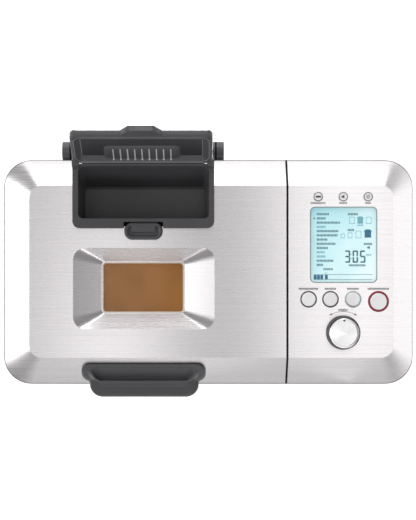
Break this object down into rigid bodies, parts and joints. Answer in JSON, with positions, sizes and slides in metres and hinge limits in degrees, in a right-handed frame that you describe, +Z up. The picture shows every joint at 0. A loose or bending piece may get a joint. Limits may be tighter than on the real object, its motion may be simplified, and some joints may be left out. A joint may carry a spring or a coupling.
{
  "type": "bread machine",
  "caption": "Bread machine with a bevelled steel top, hinged window lid, open nut dispenser, display, buttons, dial, lift-out pan and kneading paddle.",
  "frame": {"origin": "on the counter under the middle of the whole machine, with its handle and open dispenser lid, 7.3 mm behind the middle of the housing", "axes": "+X to the user's right along the wide side, +Y to the rear, +Z up"},
  "size_m": [0.413, 0.2666, 0.3996],
  "materials": {
    "brushed_steel": "fine brushed",
    "cover_steel": "fine brushed",
    "chamber_steel": "satin",
    "dark_plastic": "satin",
    "liner_plastic": "matte",
    "base_plastic": "matte",
    "foot_rubber": "matte",
    "seal_rubber": "matte",
    "window_glass": "clear",
    "screen_glass": "clear",
    "screen_face": "even lit panel",
    "button_plastic": "satin",
    "ring_plastic": "gloss",
    "start_red": "gloss",
    "knob_plastic": "satin",
    "knob_metal": "spun",
    "pan_coating": "non-stick satin",
    "shaft_steel": "polished",
    "bearing_brass": "satin",
    "heater_metal": "heat darkened",
    "support_ceramic": "matte",
    "pulley_metal": "machined",
    "belt_rubber": "matte",
    "motor_metal": "satin",
    "board_green": "satin",
    "lamp_glass": "frosted"
  },
  "bodies": {
    "housing": {"control_fascia": "brushed_steel", "housing_wrap": "brushed_steel", "oven_chamber": "chamber_steel", "heat_shield": "chamber_steel", "drive_plate": "chamber_steel", "hinge_knuckles": "dark_plastic", "top_deck": "liner_plastic", "base_tray": "base_plastic", "rear_panel": "base_plastic", "cord_gland": "base_plastic", "rubber_feet": "foot_rubber", "screen_lens": "screen_glass", "screen_module": "screen_face", "button_rings": "ring_plastic", "knob_collar": "ring_plastic", "start_ring": "start_red", "lid_hinge_pin": "shaft_steel", "shaft_bearing": "bearing_brass", "pan_seat": "bearing_brass", "heating_element": "heater_metal", "temperature_probe": "heater_metal", "element_supports": "support_ceramic", "drive_belt": "belt_rubber", "motor": "motor_metal", "control_board": "board_green", "power_board": "board_green", "chamber_lamp": "lamp_glass"},
    "drive": {"large_pulley": "pulley_metal", "drive_coupling": "shaft_steel"},
    "motor_rotor": {"motor_pulley": "pulley_metal"},
    "pan": {"bread_pan": "pan_coating", "pan_bearing": "bearing_brass"},
    "bail": {"bail_handle": "shaft_steel"},
    "pan_spindle": {"pan_shaft": "shaft_steel"},
    "paddle": {"kneading_paddle": "pan_coating"},
    "lid": {"lid_skin": "brushed_steel", "lid_liner": "liner_plastic", "window_outer_glass": "window_glass", "window_inner_glass": "window_glass", "window_gasket": "seal_rubber", "lid_seal": "seal_rubber", "lid_handle": "dark_plastic", "dispenser_solenoid": "motor_metal"},
    "plunger": {"solenoid_plunger": "motor_metal"},
    "dispenser": {"dispenser_box": "dark_plastic", "dispenser_pin": "shaft_steel"},
    "dispenser_lid": {"dispenser_lid_shell": "dark_plastic", "dispenser_lid_skin": "cover_steel"},
    "catch": {"dispenser_catch": "dark_plastic"},
    "flap": {"dispenser_flap": "dark_plastic"},
    "delay_button": {"button_delay": "button_plastic"},
    "modify_button": {"button_modify": "button_plastic"},
    "cancel_button": {"button_cancel": "button_plastic"},
    "start_button": {"button_start": "button_plastic"},
    "units_button": {"button_units": "button_plastic"},
    "mute_button": {"button_mute": "button_plastic"},
    "light_button": {"button_light": "button_plastic"},
    "knob": {"select_knob": "knob_plastic", "knob_cap": "knob_metal"}
  },
  "joints": [
    {"name": "drive_turn", "type": "hinge", "parent": "housing", "child": "drive", "pos_m": [-0.064, -0.0073, 0.046], "axis": [0, 0, 1], "continuous": true},
    {"name": "motor_turn", "type": "hinge", "parent": "housing", "child": "motor_rotor", "pos_m": [0.14, -0.0073, 0.046], "axis": [0, 0, 1], "continuous": true},
    {"name": "pan_lift", "type": "slide", "parent": "housing", "child": "pan", "axis": [0, 0, 1], "range_m": [0, 0.04]},
    {"name": "bail_swing", "type": "hinge", "parent": "pan", "child": "bail", "pos_m": [-0.064, -0.0073, 0.206], "axis": [-1, 0, 0], "range_deg": [0, 90]},
    {"name": "paddle_turn", "type": "hinge", "parent": "pan", "child": "pan_spindle", "pos_m": [-0.064, -0.0073, 0.1], "axis": [0, 0, 1], "continuous": true},
    {"name": "paddle_lift", "type": "slide", "parent": "pan_spindle", "child": "paddle", "axis": [0, 0, 1], "range_m": [0, 0.02]},
    {"name": "lid_hinge", "type": "hinge", "parent": "housing", "child": "lid", "pos_m": [-0.065, 0.1156, 0.291], "axis": [-1, 0, 0], "range_deg": [0, 75]},
    {"name": "plunger_slide", "type": "slide", "parent": "lid", "child": "plunger", "axis": [0, 1, 0], "range_m": [0, 0.004], "stiffness_N_per_m": 60},
    {"name": "dispenser_lift", "type": "slide", "parent": "lid", "child": "dispenser", "axis": [0, 0, 1], "range_m": [0, 0.055]},
    {"name": "dispenser_lid_hinge", "type": "hinge", "parent": "dispenser", "child": "dispenser_lid", "pos_m": [-0.0644, 0.1007, 0.338], "axis": [-1, 0, 0], "range_deg": [-116.5, 0]},
    {"name": "catch_slide", "type": "slide", "parent": "dispenser", "child": "catch", "axis": [0, -1, 0], "range_m": [0, 0.0025], "stiffness_N_per_m": 200},
    {"name": "flap_hinge", "type": "hinge", "parent": "dispenser", "child": "flap", "pos_m": [-0.0644, 0.0789, 0.2856], "axis": [1, 0, 0], "range_deg": [0, 75]},
    {"name": "delay_press", "type": "slide", "parent": "housing", "child": "delay_button", "axis": [0, 0, -1], "range_m": [0, 0.0012], "stiffness_N_per_m": 200},
    {"name": "modify_press", "type": "slide", "parent": "housing", "child": "modify_button", "axis": [0, 0, -1], "range_m": [0, 0.0012], "stiffness_N_per_m": 200},
    {"name": "cancel_press", "type": "slide", "parent": "housing", "child": "cancel_button", "axis": [0, 0, -1], "range_m": [0, 0.0012], "stiffness_N_per_m": 200},
    {"name": "start_press", "type": "slide", "parent": "housing", "child": "start_button", "axis": [0, 0, -1], "range_m": [0, 0.0012], "stiffness_N_per_m": 200},
    {"name": "units_press", "type": "slide", "parent": "housing", "child": "units_button", "axis": [0, 0, -1], "range_m": [0, 0.0012], "stiffness_N_per_m": 200},
    {"name": "mute_press", "type": "slide", "parent": "housing", "child": "mute_button", "axis": [0, 0, -1], "range_m": [0, 0.0012], "stiffness_N_per_m": 200},
    {"name": "light_press", "type": "slide", "parent": "housing", "child": "light_button", "axis": [0, 0, -1], "range_m": [0, 0.0012], "stiffness_N_per_m": 200},
    {"name": "knob_turn", "type": "hinge", "parent": "housing", "child": "knob", "pos_m": [0.134, -0.0673, 0.335], "axis": [0, 0, 1], "continuous": true}
  ],
  "couplings": [
    {"joint": "motor_turn", "follows": "drive_turn", "ratio": 3.7245},
    {"joint": "paddle_turn", "follows": "drive_turn", "ratio": 1}
  ]
}
